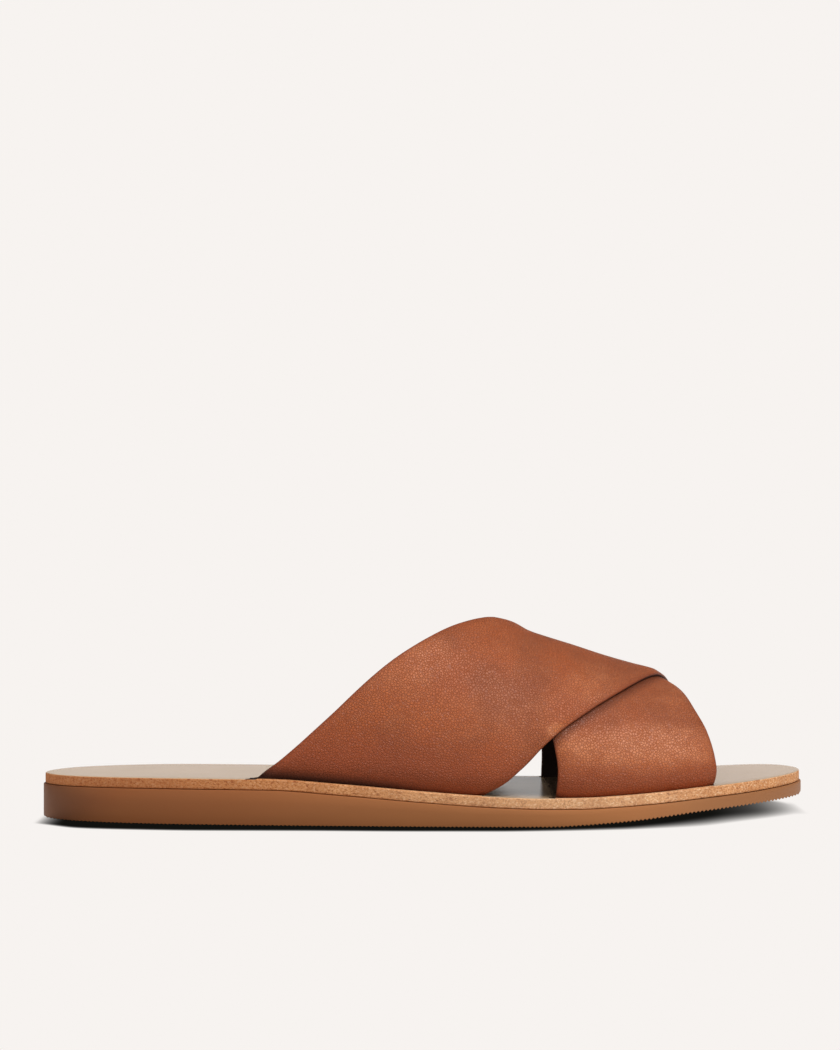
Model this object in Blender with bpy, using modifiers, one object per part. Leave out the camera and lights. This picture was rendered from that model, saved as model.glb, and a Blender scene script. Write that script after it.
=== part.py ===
"""Cross strap sandal, the right shoe of a pair.

Four pieces, as a maker puts them together: a moulded rubber outsole, a leather midsole board, a thin
leather insole, and an upper of two wide straps that cross over the instep and go down through slots in
the insole and the board.

Metres, +Z up. +X points at the toe and -Y is the outer side, where the little toe is. The origin is on
the floor, under the middle of the shoe.
"""

import math
from collections import namedtuple

import bmesh
import bpy
from mathutils import Vector

MM = 0.001

# Driving sizes
SOLE_LENGTH = 255 * MM
HEEL_TIP_Y = -4 * MM
TOE_TIP_Y = 12.5 * MM
BOARD_THICKNESS = 2.3 * MM
INSOLE_THICKNESS = 0.7 * MM
STRAP_THICKNESS = 2.0 * MM
FIT_GAP = 0.3 * MM

# Margins, measured inwards from the outsole's edge
RIM_LEDGE = 0.6 * MM
STRAP_BULGE_INSET = 1.5 * MM
STRAP_SLOT_INSET = 3.5 * MM

# Outsole side
SOLE_EDGE_CHAMFER = 0.6 * MM

# Straps
STRAP_JOIN_BITE = 0.5 * MM
STRAP_EDGE_ROUND = 0.85 * MM
STRAP_RAMP = 14 * MM
SLOT_END_ROOM = 2.5 * MM
TUCK_HEIGHT = 9 * MM
SECTION_FULLNESS = 2.2

# How finely the surfaces are divided
SOLE_ROWS = 48
STRAP_ROWS = 34
STRAP_COLUMNS = 14
TAIL_ROWS = 2
SLOT_ROWS = 20
SHARP_ANGLE = math.radians(35)

# Plan of the sole, in mm: distance from the heel, and breadth from the shoe's middle line to the outer
# and to the inner side.
PlanStation = namedtuple("PlanStation", "heel_distance outer inner")
SOLE_PLAN = [
    PlanStation(6, 18.8, 12.8),
    PlanStation(20, 28.7, 22.0),
    PlanStation(42, 36.0, 26.4),
    PlanStation(62, 39.3, 25.3),
    PlanStation(84, 42.1, 23.1),
    PlanStation(98, 43.5, 23.2),
    PlanStation(112, 44.8, 26.2),
    PlanStation(126, 46.2, 31.8),
    PlanStation(140, 47.4, 38.0),
    PlanStation(155, 48.0, 43.4),
    PlanStation(170, 47.8, 46.8),
    PlanStation(185, 46.9, 48.0),
    PlanStation(200, 44.5, 47.5),
    PlanStation(215, 40.4, 46.3),
    PlanStation(230, 32.8, 43.7),
    PlanStation(241, 22.6, 39.4),
    PlanStation(250, 8.2, 31.8),
]

# Side view of the sole, in mm: distance from the heel, and heights of the outsole's underside and top.
SideStation = namedtuple("SideStation", "heel_distance ground rim")
SOLE_SIDE = [
    SideStation(0, 0.0, 11.1),
    SideStation(45, 0.0, 11.4),
    SideStation(76, 0.0, 11.35),
    SideStation(100, 0.0, 9.85),
    SideStation(126, 0.0, 7.8),
    SideStation(152, 0.0, 6.15),
    SideStation(168, 0.0, 5.7),
    SideStation(178, 0.45, 5.75),
    SideStation(190, 1.5, 6.3),
    SideStation(203, 2.95, 7.2),
    SideStation(216, 4.55, 8.4),
    SideStation(230, 5.8, 9.5),
    SideStation(243, 6.6, 10.4),
    SideStation(255, 7.0, 11.0),
]

# The last that the straps are drawn over, in mm: distance from the heel, height of its ridge above the
# floor, and how far the ridge lies to the inner side.
LastStation = namedtuple("LastStation", "heel_distance ridge_height ridge_y")
LAST = [
    LastStation(60, 112.0, 0.0),
    LastStation(100, 91.0, 0.0),
    LastStation(126, 75.4, 1.0),
    LastStation(140, 68.9, 1.3),
    LastStation(150, 64.7, 1.5),
    LastStation(156, 61.1, 1.6),
    LastStation(161, 57.9, 1.8),
    LastStation(167, 55.8, 2.0),
    LastStation(176, 53.0, 2.2),
    LastStation(186, 49.7, 2.5),
    LastStation(196, 46.8, 2.7),
    LastStation(208, 43.8, 3.0),
    LastStation(222, 38.2, 3.8),
    LastStation(240, 31.0, 5.0),
]

# Where the straps' edges lie, in mm from the heel, by the share of the way round from the outer base
# (0) over the ridge (0.5) to the inner base (1).
EdgeStation = namedtuple("EdgeStation", "turn over_rear over_front under_rear under_front")
EDGES = [
    EdgeStation(0.00, 72.6, 145.7, 169.5, 220.9),
    EdgeStation(0.02, 81.4, 153.0, 169.9, 221.6),
    EdgeStation(0.05, 90.2, 158.8, 170.2, 222.0),
    EdgeStation(0.10, 101.4, 165.7, 169.2, 221.5),
    EdgeStation(0.20, 118.0, 180.5, 165.8, 219.4),
    EdgeStation(0.30, 131.9, 192.5, 162.4, 215.9),
    EdgeStation(0.40, 143.0, 200.7, 159.0, 212.9),
    EdgeStation(0.50, 150.8, 206.9, 155.0, 208.3),
    EdgeStation(0.60, 157.0, 211.3, 148.0, 201.6),
    EdgeStation(0.70, 162.0, 215.9, 138.0, 193.0),
    EdgeStation(0.80, 166.0, 220.3, 125.0, 182.0),
    EdgeStation(0.90, 168.2, 223.8, 108.0, 168.0),
    EdgeStation(0.95, 168.6, 224.8, 97.0, 160.5),
    EdgeStation(1.00, 168.2, 225.0, 83.0, 148.5),
]

COLOURS = {
    "outsole": (0.30, 0.13, 0.06, 1),
    "midsole": (0.55, 0.27, 0.11, 1),
    "insole": (0.58, 0.46, 0.37, 1),
    "upper": (0.33, 0.09, 0.035, 1),
}
ROUGHNESS = {"outsole": 0.6, "midsole": 0.85, "insole": 0.35, "upper": 0.45}


def smooth_through(places, values, at):
    """The value at a place on a smooth curve through the knots that never overshoots them."""
    if at <= places[0]:
        return values[0]
    if at >= places[-1]:
        return values[-1]
    steps = [b - a for a, b in zip(places, places[1:])]
    slopes = [(b - a) / h for a, b, h in zip(values, values[1:], steps)]
    tangents = [slopes[0]]
    for before, after in zip(slopes, slopes[1:]):
        if before * after <= 0:
            tangents.append(0.0)
        else:
            tangents.append(2 * before * after / (before + after))
    tangents.append(slopes[-1])
    k = max(i for i, place in enumerate(places[:-1]) if place <= at)
    h = steps[k]
    u = (at - places[k]) / h
    rise = (3 - 2 * u) * u * u
    lead = u * (1 - u) ** 2 * h * tangents[k]
    tail = u * u * (u - 1) * h * tangents[k + 1]
    return values[k] + rise * (values[k + 1] - values[k]) + lead + tail


def read(table, column, at):
    """A table's column, read smoothly at a place in its first column."""
    places = [row[0] for row in table]
    values = [getattr(row, column) for row in table]
    return smooth_through(places, values, at)


def end_rounding(heel_distance):
    """0 at the heel's and the toe's tip and 1 halfway, as on a circle, so that both ends come out round."""
    share = heel_distance / SOLE_LENGTH
    return math.sqrt(max(0.0, 4 * share * (1 - share)))


def sole_axis(heel_distance):
    """Y of the line from the heel's tip to the toe's tip."""
    share = heel_distance / SOLE_LENGTH
    return HEEL_TIP_Y + share * (TOE_TIP_Y - HEEL_TIP_Y)


def sole_edge(side, heel_distance):
    """Y of the outsole's edge on the outer or the inner side."""
    sign = -1 if side == "outer" else 1
    places = [row.heel_distance * MM for row in SOLE_PLAN]
    fullness = []
    for row, place in zip(SOLE_PLAN, places):
        breadth = sign * getattr(row, side) * MM - sole_axis(place)
        fullness.append(breadth / end_rounding(place))
    full = smooth_through(places, fullness, heel_distance)
    return sole_axis(heel_distance) + full * end_rounding(heel_distance)


def ground_height(heel_distance):
    return read(SOLE_SIDE, "ground", heel_distance / MM) * MM


def rim_height(heel_distance):
    return read(SOLE_SIDE, "rim", heel_distance / MM) * MM


def foot_height(heel_distance):
    """Height of the insole's top, where the foot stands."""
    return rim_height(heel_distance) + BOARD_THICKNESS + INSOLE_THICKNESS + 2 * FIT_GAP


def inset_edge(side, heel_distance, inset):
    """The sole's outline moved inwards by inset, square to itself, at a distance from the heel."""
    step = 0.5 * MM
    before = sole_edge(side, max(heel_distance - step, 0.2 * MM))
    after = sole_edge(side, min(heel_distance + step, SOLE_LENGTH - 0.2 * MM))
    slant = math.hypot(1, (after - before) / (2 * step))
    inwards = 1 if side == "outer" else -1
    return sole_edge(side, heel_distance) + inwards * inset * slant


def bent_grid(name, rows, columns, place):
    """A smooth grid of rows by columns faces, its corners put where place(row share, column share) says."""
    shape = bmesh.new()
    bmesh.ops.create_grid(shape, x_segments=rows, y_segments=columns, size=0.5)
    for corner in shape.verts:
        corner.co = place(corner.co.x + 0.5, corner.co.y + 0.5)
    bmesh.ops.remove_doubles(shape, verts=shape.verts, dist=0.01 * MM)
    bmesh.ops.dissolve_degenerate(shape, edges=shape.edges, dist=0.005 * MM)
    bmesh.ops.recalc_face_normals(shape, faces=shape.faces)
    mesh = bpy.data.meshes.new(name)
    shape.to_mesh(mesh)
    shape.free()
    mesh.shade_smooth()
    mesh.set_sharp_from_angle(angle=SHARP_ANGLE)
    return bpy.data.objects.new(name, mesh)


def inset_point(side, heel_distance, inset, height):
    """A point on the outline of a layer that lies inset inwards from the outsole's edge all round."""
    shrink = (SOLE_LENGTH - 2 * inset) / SOLE_LENGTH
    x = inset + heel_distance * shrink
    y_axis = sole_axis(x)
    breadth = sole_edge(side, heel_distance) - sole_axis(heel_distance)
    if abs(breadth) > inset:
        breadth -= math.copysign(inset * end_rounding(heel_distance), breadth)
    return (x - SOLE_LENGTH / 2, y_axis + breadth, height)


def layer(name, inset, side_profile):
    """A closed layer of the sole. side_profile lists its side from bottom to top as (step in, height)."""

    def place(along, around):
        heel_distance = SOLE_LENGTH * (1 - math.cos(math.pi * along)) / 2
        points = side_profile(heel_distance)
        index = round(around * 2 * len(points)) % (2 * len(points))
        if index < len(points):
            side = "outer"
            step_in, height = points[index]
        else:
            side = "inner"
            step_in, height = points[2 * len(points) - 1 - index]
        return Vector(inset_point(side, heel_distance, inset + step_in, height))

    columns = 2 * len(side_profile(0.0))
    return bent_grid(name, SOLE_ROWS, columns, place)


def outsole():
    """The moulded rubber sole: level under heel and ball, sprung at the toe, thicker at the heel."""

    def side(heel_distance):
        ground = ground_height(heel_distance)
        rim = rim_height(heel_distance)
        return [
            (SOLE_EDGE_CHAMFER, ground),
            (0.0, ground + SOLE_EDGE_CHAMFER),
            (0.0, (ground + rim) / 2),
            (0.0, rim),
        ]

    return layer("outsole", 0.0, side)


def midsole():
    """The leather board that the straps are anchored in."""

    def side(heel_distance):
        floor = rim_height(heel_distance) + FIT_GAP
        return [(0.0, floor), (0.0, floor + BOARD_THICKNESS)]

    return layer("midsole", RIM_LEDGE, side)


def insole():
    """The thin leather that the foot stands on, with a softened edge."""

    def side(heel_distance):
        top = foot_height(heel_distance)
        floor = top - INSOLE_THICKNESS
        edge = INSOLE_THICKNESS / 2
        return [(0.0, floor), (0.0, top - edge), (edge, top)]

    return layer("insole", RIM_LEDGE, side)


def base_y(side, heel_distance):
    """Y of the last where a strap goes into its slot."""
    inset = RIM_LEDGE + STRAP_SLOT_INSET + STRAP_THICKNESS
    return inset_edge(side, heel_distance, inset)


def last_point(heel_distance, turn):
    """A point on the last, turn going from the outer base (0) over the ridge (0.5) to the inner base (1)."""
    side = "outer" if turn < 0.5 else "inner"
    outwards = -1 if side == "outer" else 1
    floor = foot_height(heel_distance)
    ridge_y = read(LAST, "ridge_y", heel_distance / MM) * MM
    ridge_height = read(LAST, "ridge_height", heel_distance / MM) * MM - floor
    tuck = STRAP_SLOT_INSET - STRAP_BULGE_INSET
    breadth = base_y(side, heel_distance) + outwards * tuck - ridge_y
    angle = math.pi * min(turn, 1 - turn)
    power = 2 / SECTION_FULLNESS
    rise = ridge_height * math.sin(angle) ** power
    y = ridge_y + breadth * math.cos(angle) ** power
    y -= outwards * tuck * max(0.0, 1 - rise / TUCK_HEIGHT) ** 2
    return Vector((heel_distance - SOLE_LENGTH / 2, y, floor + rise))


def last_normal(heel_distance, turn):
    """The last's outward direction at a point."""
    step, small_turn = 0.5 * MM, 0.004
    low, high = max(turn - small_turn, 0.0), min(turn + small_turn, 1.0)
    along = last_point(heel_distance + step, turn) - last_point(heel_distance - step, turn)
    around = last_point(heel_distance, high) - last_point(heel_distance, low)
    return along.cross(around).normalized()


def strap_point(rear, front, lift, along, across):
    """A point on a strap's underside. along runs from tail to tail and across from rear to front edge."""
    tail_share = TAIL_ROWS / STRAP_ROWS
    turn = min(max((along - tail_share) / (1 - 2 * tail_share), 0.0), 1.0)
    start, end = read(EDGES, rear, turn) * MM, read(EDGES, front, turn) * MM
    heel_distance = start + across * (end - start)
    point = last_point(heel_distance, turn)
    point += lift(heel_distance, turn) * last_normal(heel_distance, turn)
    beyond = max(tail_share - along, along - (1 - tail_share), 0.0) / tail_share
    tail = BOARD_THICKNESS + INSOLE_THICKNESS + FIT_GAP
    point.z -= beyond * tail
    return point


def no_lift(_heel_distance, _turn):
    return 0.0


def lift_over_under_strap(heel_distance, turn):
    """How far the over strap is raised by the under strap below it, easing off beyond that strap's edges."""
    rear = read(EDGES, "under_rear", turn) * MM
    front = read(EDGES, "under_front", turn) * MM
    outside = max(rear - heel_distance, heel_distance - front, 0.0)
    ease = max(0.0, 1 - outside / STRAP_RAMP)
    return (STRAP_THICKNESS - STRAP_JOIN_BITE) * ease * ease * (3 - 2 * ease)


def strap(name, rear, front, lift):
    """One wide strap: an open sheet on the last, given its wall outwards and rounded edges."""

    def place(along, across):
        return strap_point(rear, front, lift, along, across)

    sheet = bent_grid(name, STRAP_ROWS, STRAP_COLUMNS, place)
    wall = sheet.modifiers.new("wall", "SOLIDIFY")
    wall.thickness = STRAP_THICKNESS
    wall.offset = 1.0
    wall.use_even_offset = True
    edge = sheet.modifiers.new("edge", "BEVEL")
    edge.width = STRAP_EDGE_ROUND
    edge.segments = 2
    edge.limit_method = "ANGLE"
    edge.angle_limit = math.radians(60)
    edge.harden_normals = True
    return sheet


def slot_cutter(name, side, rear, front):
    """The tool that cuts one strap's slot, following the edge of the sole."""
    near = RIM_LEDGE + STRAP_SLOT_INSET - FIT_GAP
    far = near + STRAP_THICKNESS + 2 * FIT_GAP
    start = rear * MM - SLOT_END_ROOM
    end = front * MM + SLOT_END_ROOM

    def place(along, around):
        heel_distance = start + along * (end - start)
        corner = round(around * 4) % 4
        inset = near if corner in (0, 3) else far
        floor = rim_height(heel_distance)
        ceiling = foot_height(heel_distance) + 2 * MM
        height = floor if corner in (0, 1) else ceiling
        y = inset_edge(side, heel_distance, inset)
        return Vector((heel_distance - SOLE_LENGTH / 2, y, height))

    cutter = bent_grid(name, SLOT_ROWS, 4, place)
    shape = bmesh.new()
    shape.from_mesh(cutter.data)
    ends = [edge for edge in shape.edges if edge.is_boundary]
    bmesh.ops.holes_fill(shape, edges=ends)
    bmesh.ops.recalc_face_normals(shape, faces=shape.faces)
    shape.to_mesh(cutter.data)
    shape.free()
    cutter.hide_render = True
    cutter.display_type = "WIRE"
    return cutter


def cut(target, cutter):
    """Takes the cutter's shape out of the target."""
    tool = target.modifiers.new(cutter.name, "BOOLEAN")
    tool.operation = "DIFFERENCE"
    tool.solver = "EXACT"
    tool.object = cutter


def join(target, other):
    """Makes two overlapping shapes one, keeping the second as a hidden helper."""
    tool = target.modifiers.new(other.name, "BOOLEAN")
    tool.operation = "UNION"
    tool.solver = "EXACT"
    tool.object = other
    other.hide_render = True
    other.display_type = "WIRE"


def finish(piece):
    """Gives a piece its colour and its gloss."""
    material = bpy.data.materials.new(piece.name)
    material.use_nodes = True
    surface = material.node_tree.nodes["Principled BSDF"]
    surface.inputs["Base Color"].default_value = COLOURS[piece.name]
    surface.inputs["Roughness"].default_value = ROUGHNESS[piece.name]
    piece.data.materials.append(material)


def main():
    for old in list(bpy.data.objects):
        bpy.data.objects.remove(old)
    sandal = bpy.data.collections.new("cross_strap_sandal")
    tools = bpy.data.collections.new("cutters")
    bpy.context.scene.collection.children.link(sandal)
    bpy.context.scene.collection.children.link(tools)

    upper = strap("upper", "over_rear", "over_front", lift_over_under_strap)
    under = strap("under_strap", "under_rear", "under_front", no_lift)
    join(upper, under)
    tools.objects.link(under)

    pieces = {"outsole": outsole(), "midsole": midsole(), "insole": insole(), "upper": upper}
    ends = {"outer": EDGES[0], "inner": EDGES[-1]}
    for side, row in ends.items():
        for strap_name in ("over", "under"):
            rear = getattr(row, strap_name + "_rear")
            front = getattr(row, strap_name + "_front")
            cutter = slot_cutter(f"slot_{strap_name}_{side}", side, rear, front)
            tools.objects.link(cutter)
            cut(pieces["midsole"], cutter)
            cut(pieces["insole"], cutter)
    for piece in pieces.values():
        finish(piece)
        sandal.objects.link(piece)


main()
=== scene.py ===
# %% [markdown]
# # A cross strap sandal in leather and rubber
# A slide like this is made from the floor up: a moulded rubber outsole, a leather board, a thin insole
# that the foot stands on, and two wide straps whose ends go down through slots in the insole and board.
# The construction is already packed as plain solids. This lesson dresses them: each solid is replaced by
# a piece of the same form with the fine shape and the finish of the real one. The solids stay loaded as
# the frame, and every size below is in their coordinates: +X towards the toe, -Y the outer side, +Z up.

# %% Load the frame
import math
from bisect import bisect_right
from collections import namedtuple

import bpy
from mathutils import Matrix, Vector
from mathutils.kdtree import KDTree


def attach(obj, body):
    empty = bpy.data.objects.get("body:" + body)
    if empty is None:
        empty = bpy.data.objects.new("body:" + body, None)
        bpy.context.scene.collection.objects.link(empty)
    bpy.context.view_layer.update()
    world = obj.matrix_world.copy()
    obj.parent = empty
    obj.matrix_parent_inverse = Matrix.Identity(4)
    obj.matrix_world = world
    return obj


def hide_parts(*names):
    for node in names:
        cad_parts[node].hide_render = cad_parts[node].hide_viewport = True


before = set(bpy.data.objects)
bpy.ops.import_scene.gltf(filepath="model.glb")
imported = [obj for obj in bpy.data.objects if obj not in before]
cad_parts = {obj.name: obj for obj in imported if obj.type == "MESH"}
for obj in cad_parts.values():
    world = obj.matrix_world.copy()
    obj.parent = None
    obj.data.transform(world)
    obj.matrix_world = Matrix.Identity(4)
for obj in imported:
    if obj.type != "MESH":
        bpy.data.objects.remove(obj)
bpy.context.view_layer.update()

# %% [markdown]
# ## The shoe's own sizes
# Everything that shows follows from a few driving sizes and from two drawings that a shoemaker works
# with: the plan and side view of the sole, and the last that the straps are drawn over. They are kept as
# short tables in millimetres, and a smooth curve is read through each column.

# %% Driving sizes
MM = 0.001
SOLE_LENGTH = 255 * MM
HEEL_TIP_Y = -4 * MM
TOE_TIP_Y = 12.5 * MM
BOARD_THICKNESS = 2.3 * MM
INSOLE_THICKNESS = 0.7 * MM
STRAP_THICKNESS = 2.0 * MM
STRAP_EDGE_THICKNESS = 1.3 * MM
LAYER_GAP = 0.3 * MM
RIM_LEDGE = 0.6 * MM
STRAP_BULGE_INSET = 0.4 * MM
STRAP_SLOT_INSET = 3.5 * MM
SLOT_REAR_ROOM = 2.0 * MM
SLOT_FRONT_ROOM = 0.8 * MM
TUCK_HEIGHT = 8 * MM
SECTION_FULLNESS = 2.2
print("a sole", round(SOLE_LENGTH / MM), "mm long under straps", STRAP_THICKNESS / MM, "mm thick")

# %% [markdown]
# ## The sole's drawings
# The plan gives the breadth to the outer and the inner side of a straight centre line: a round heel, a
# waist that is hollow on the inner side, and the broadest place at the ball of the foot. The side view
# gives the ground line, which rises under the toes so that the shoe can roll, and the rubber's upper rim.
# Both were measured in the photograph, as far as it shows them.

# %% The sole's plan and side view
PlanStation = namedtuple("PlanStation", "heel_distance outer inner")
SOLE_PLAN = [PlanStation(*row) for row in [
    (6, 18.8, 12.8),
    (20, 28.7, 22.0),
    (42, 36.0, 26.4),
    (62, 39.3, 25.3),
    (84, 42.1, 23.1),
    (98, 43.5, 23.2),
    (112, 44.8, 26.2),
    (126, 46.2, 31.8),
    (140, 47.4, 38.0),
    (155, 48.0, 43.4),
    (170, 47.8, 46.8),
    (185, 46.9, 48.0),
    (200, 44.5, 47.5),
    (215, 40.4, 46.3),
    (230, 32.8, 43.7),
    (241, 22.6, 39.4),
    (250, 8.2, 31.8),
]]
SideStation = namedtuple("SideStation", "heel_distance ground rim")
SOLE_SIDE = [SideStation(*row) for row in [
    (0, 0.0, 11.1),
    (45, 0.0, 11.4),
    (76, 0.0, 11.35),
    (100, 0.0, 9.85),
    (126, 0.0, 7.8),
    (152, 0.0, 6.15),
    (168, 0.0, 5.7),
    (178, 0.45, 5.75),
    (190, 1.5, 6.3),
    (203, 2.95, 7.2),
    (216, 4.55, 8.4),
    (230, 5.8, 9.5),
    (243, 6.6, 10.4),
    (255, 7.0, 11.0),
]]
widest = max(SOLE_PLAN, key=lambda row: row.outer + row.inner)
print("widest", widest.outer + widest.inner, "mm, at", widest.heel_distance, "mm from the heel")

# %% [markdown]
# ## The last's drawings
# Straps are pulled over a wooden foot, the last, and keep its form. Its ridge falls from the instep to the
# toes. A strap's edge is a line on the last, told here by how far from the heel it lies at each turn: turn
# is the share of the way round the foot, from the outer base (0) over the ridge (0.5) to the inner base
# (1). The two straps cross because their edges move in opposite directions.

# %% The last and the edges of the straps
LastStation = namedtuple("LastStation", "heel_distance ridge_height ridge_y")
LAST = [LastStation(*row) for row in [
    (60, 112.0, 0.0),
    (100, 91.0, 0.0),
    (126, 75.4, 1.0),
    (140, 68.9, 1.3),
    (150, 64.7, 1.5),
    (156, 61.1, 1.6),
    (161, 57.9, 1.8),
    (167, 55.8, 2.0),
    (176, 53.0, 2.2),
    (186, 49.7, 2.5),
    (196, 46.8, 2.7),
    (208, 43.8, 3.0),
    (222, 38.2, 3.8),
    (240, 31.0, 5.0),
]]
EdgeStation = namedtuple("EdgeStation", "turn over_rear over_front under_rear under_front")
EDGES = [EdgeStation(*row) for row in [
    (0.00, 72.6, 145.7, 169.5, 220.9),
    (0.02, 81.4, 153.0, 169.9, 221.6),
    (0.05, 90.2, 158.8, 170.2, 222.0),
    (0.10, 101.4, 165.7, 169.2, 221.5),
    (0.20, 118.0, 180.5, 165.8, 219.4),
    (0.30, 131.9, 192.5, 162.4, 215.9),
    (0.40, 143.0, 200.7, 159.0, 212.9),
    (0.50, 150.8, 206.9, 155.0, 208.3),
    (0.60, 157.0, 211.3, 148.0, 201.6),
    (0.70, 162.0, 215.9, 138.0, 193.0),
    (0.80, 166.0, 220.3, 125.0, 182.0),
    (0.90, 168.2, 223.8, 108.0, 168.0),
    (0.95, 168.6, 224.8, 97.0, 160.5),
    (1.00, 168.2, 225.0, 83.0, 148.5),
]]
print("over strap from", EDGES[0].over_rear, "to", EDGES[-1].over_front, "mm from the heel")

# %% [markdown]
# ## Curves through the tables
# A plain cubic through the rows would ripple between them. Taking the harmonic mean of the slopes on
# both sides as each row's tangent keeps the curve from overshooting, which is what a drawn outline does.


# %% Smooth curves
def smooth_curve(places, values):
    """A function that reads values at places on a smooth curve that never overshoots them."""
    steps = [b - a for a, b in zip(places, places[1:])]
    slopes = [(b - a) / h for a, b, h in zip(values, values[1:], steps)]
    tangents = [slopes[0]]
    for before, after in zip(slopes, slopes[1:]):
        turning = before * after <= 0
        tangents.append(0.0 if turning else 2 * before * after / (before + after))
    tangents.append(slopes[-1])

    def value(at):
        if at <= places[0]:
            return values[0]
        if at >= places[-1]:
            return values[-1]
        k = bisect_right(places, at) - 1
        u = (at - places[k]) / steps[k]
        rise = (3 - 2 * u) * u * u * (values[k + 1] - values[k])
        lead = u * (1 - u) ** 2 * steps[k] * tangents[k]
        tail = u * u * (u - 1) * steps[k] * tangents[k + 1]
        return values[k] + rise + lead + tail

    return value


def share_between(value, start, end):
    """How far value has come from start to end, held between 0 and 1."""
    return min(max((value - start) / (end - start), 0.0), 1.0)


def smooth_between(value, start, end):
    """0 before start, 1 past end and smooth between."""
    share = share_between(value, start, end)
    return share * share * (3 - 2 * share)


def column(table, name, scale=1.0):
    """A smooth curve through one column of a table, over the table's first column."""
    places = [row[0] * scale for row in table]
    return smooth_curve(places, [getattr(row, name) * MM for row in table])


ground_height = column(SOLE_SIDE, "ground", MM)
rim_height = column(SOLE_SIDE, "rim", MM)
ridge_height = column(LAST, "ridge_height", MM)
ridge_y = column(LAST, "ridge_y", MM)
strap_edge = {name: column(EDGES, name) for name in EdgeStation._fields[1:]}


def foot_height(heel_distance):
    """Height of the insole's top, where the foot stands."""
    return rim_height(heel_distance) + BOARD_THICKNESS + INSOLE_THICKNESS + 2 * LAYER_GAP


heel_stands, ball_stands = foot_height(40 * MM), foot_height(165 * MM)
print("heel stands", round(heel_stands / MM, 1), "mm high, ball", round(ball_stands / MM, 1))


# %% [markdown]
# ## The outline of the sole
# All layers of the sole share one outline, drawn in more or less. The rounded tips are kept apart from the
# breadths: a breadth is divided by the rounding of a circle before it is smoothed and multiplied by it
# afterwards, so that heel and toe close in a round and not in a point.


# %% The outline of the sole
def end_rounding(heel_distance):
    """0 at the tips of heel and toe and 1 halfway, as on a circle, so that both ends come out round."""
    share = heel_distance / SOLE_LENGTH
    return math.sqrt(max(0.0, 4 * share * (1 - share)))


def sole_axis(heel_distance):
    """Y of the line from the heel's tip to the toe's tip."""
    return HEEL_TIP_Y + heel_distance / SOLE_LENGTH * (TOE_TIP_Y - HEEL_TIP_Y)


def fullness_curve(side, sign):
    """Breadth from the sole's axis, divided by the rounding of the ends."""
    places = [row.heel_distance * MM for row in SOLE_PLAN]
    breadths = [sign * getattr(row, side) * MM - sole_axis(x) for row, x in zip(SOLE_PLAN, places)]
    return smooth_curve(places, [b / end_rounding(x) for b, x in zip(breadths, places)])


FULLNESS = {"outer": fullness_curve("outer", -1), "inner": fullness_curve("inner", 1)}


def sole_edge(side, heel_distance):
    """Y of the outsole's edge on the outer or the inner side."""
    return sole_axis(heel_distance) + FULLNESS[side](heel_distance) * end_rounding(heel_distance)


def inset_edge(side, heel_distance, inset):
    """The outline moved inwards by inset, square to itself."""
    step = 0.5 * MM
    before = sole_edge(side, max(heel_distance - step, 0.2 * MM))
    after = sole_edge(side, min(heel_distance + step, SOLE_LENGTH - 0.2 * MM))
    slant = math.hypot(1, (after - before) / (2 * step))
    inwards = 1 if side == "outer" else -1
    return sole_edge(side, heel_distance) + inwards * inset * slant


def layer_point(side, heel_distance, inset, height, across=1.0):
    """A point of a layer that lies inset inwards all round; across is 1 at its edge and 0 on the axis."""
    x = inset + heel_distance * (SOLE_LENGTH - 2 * inset) / SOLE_LENGTH
    breadth = sole_edge(side, heel_distance) - sole_axis(heel_distance)
    if abs(breadth) > inset:
        breadth -= math.copysign(inset * end_rounding(heel_distance), breadth)
    return Vector((x - SOLE_LENGTH / 2, sole_axis(x) + across * breadth, height))


ball = [round(sole_edge(side, 180 * MM) / MM, 1) for side in ("outer", "inner")]
print("the ball reaches from", ball[0], "to", ball[1], "mm")


# %% [markdown]
# ## The last
# A section through the forefoot is fuller than an ellipse, so it is drawn with a power a little above two.
# Low down it is tucked in, because the leather swells over the slots that it goes into.


# %% The last
def base_y(side, heel_distance):
    """Y of the last where a strap goes into its slot."""
    return inset_edge(side, heel_distance, RIM_LEDGE + STRAP_SLOT_INSET + STRAP_THICKNESS)


def last_point(heel_distance, turn):
    """A point on the last, over which the straps are drawn."""
    side = "outer" if turn < 0.5 else "inner"
    outwards = -1 if side == "outer" else 1
    floor = foot_height(heel_distance)
    middle = ridge_y(heel_distance)
    tuck = STRAP_SLOT_INSET - STRAP_BULGE_INSET
    breadth = base_y(side, heel_distance) + outwards * tuck - middle
    angle = math.pi * min(turn, 1 - turn)
    power = 2 / SECTION_FULLNESS
    rise = (ridge_height(heel_distance) - floor) * math.sin(angle) ** power
    y = middle + breadth * max(math.cos(angle), 0.0) ** power
    y -= outwards * tuck * max(0.0, 1 - rise / TUCK_HEIGHT) ** 2
    return Vector((heel_distance - SOLE_LENGTH / 2, y, floor + rise))


def last_normal(heel_distance, turn):
    """The last's outward direction at a point."""
    step, small_turn = 0.5 * MM, 0.004
    low, high = max(turn - small_turn, 0.0), min(turn + small_turn, 1.0)
    along = last_point(heel_distance + step, turn) - last_point(heel_distance - step, turn)
    around = last_point(heel_distance, high) - last_point(heel_distance, low)
    return along.cross(around).normalized()


print("over the instep the last is", round(last_point(150 * MM, 0.5).z / MM, 1), "mm high")


# %% [markdown]
# ## The camera
# The photograph was taken from low down and far away, so the verticals stay upright and the sole shows
# as a thin ellipse. A level camera just under ten centimetres above the floor, one metre away and with a
# long lens, gives that view.

# %% Camera
CAMERA_PLACE = (-1.65 * MM, -1058 * MM, 97.2 * MM)
LENS = 107.93
SENSOR = 36

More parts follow.
